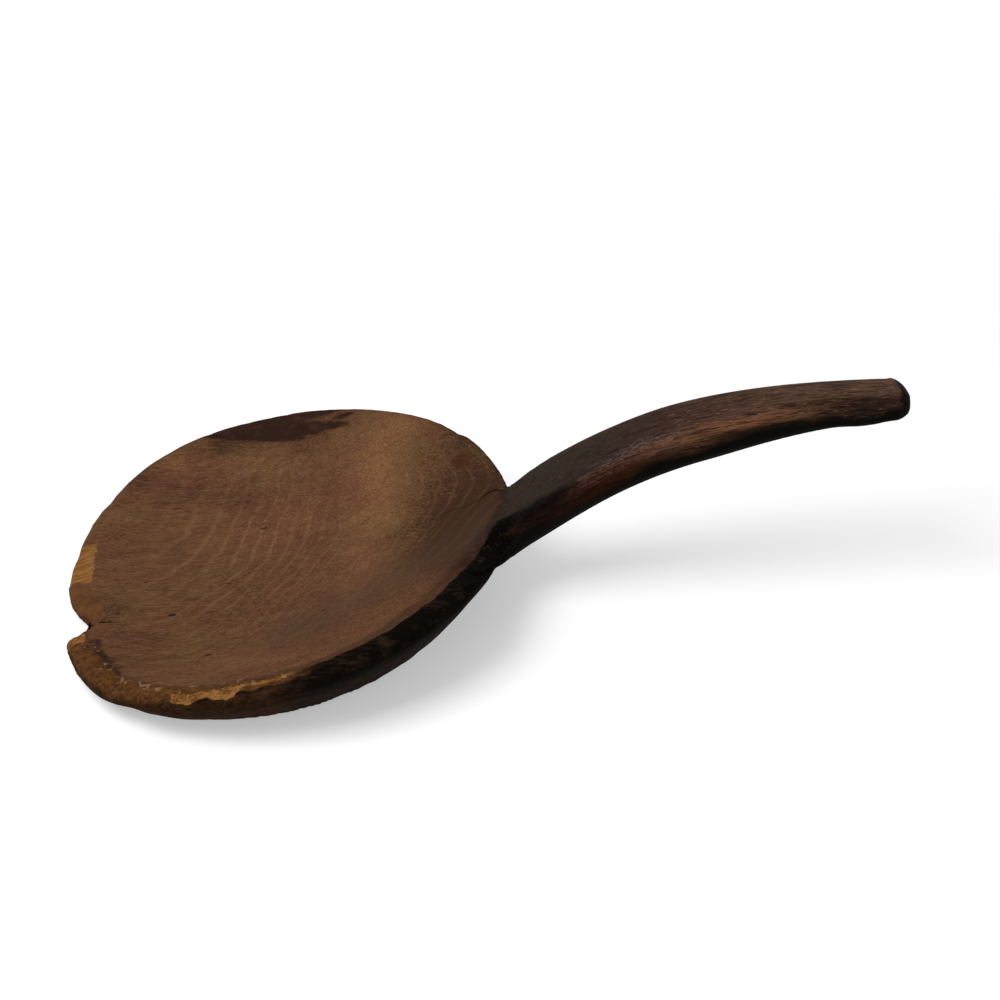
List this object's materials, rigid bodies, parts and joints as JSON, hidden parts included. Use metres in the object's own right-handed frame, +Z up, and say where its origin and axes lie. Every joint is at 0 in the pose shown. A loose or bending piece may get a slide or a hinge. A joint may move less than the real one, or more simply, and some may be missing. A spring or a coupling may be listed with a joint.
{
  "type": "butter paddle",
  "caption": "Hand-carved wooden butter paddle: a broad, round, shallow dished blade with a worn notch in its tip and a curved rising handle with a small heel under its blunt end.",
  "frame": {"origin": "on the flat foot under the blade, below the blade's centre", "axes": "+X along the paddle from the blade towards the handle's end, +Y across the blade, +Z up"},
  "size_m": [0.2662, 0.153, 0.07],
  "materials": {
    "blade_wood": "worn, dry, hand-carved hardwood with open grain, dark outside and rubbed pale along the rim",
    "handle_wood": "dark reddish hardwood polished by handling"
  },
  "bodies": {
    "root": {"blade": "blade_wood", "handle": "handle_wood"}
  },
  "joints": []
}
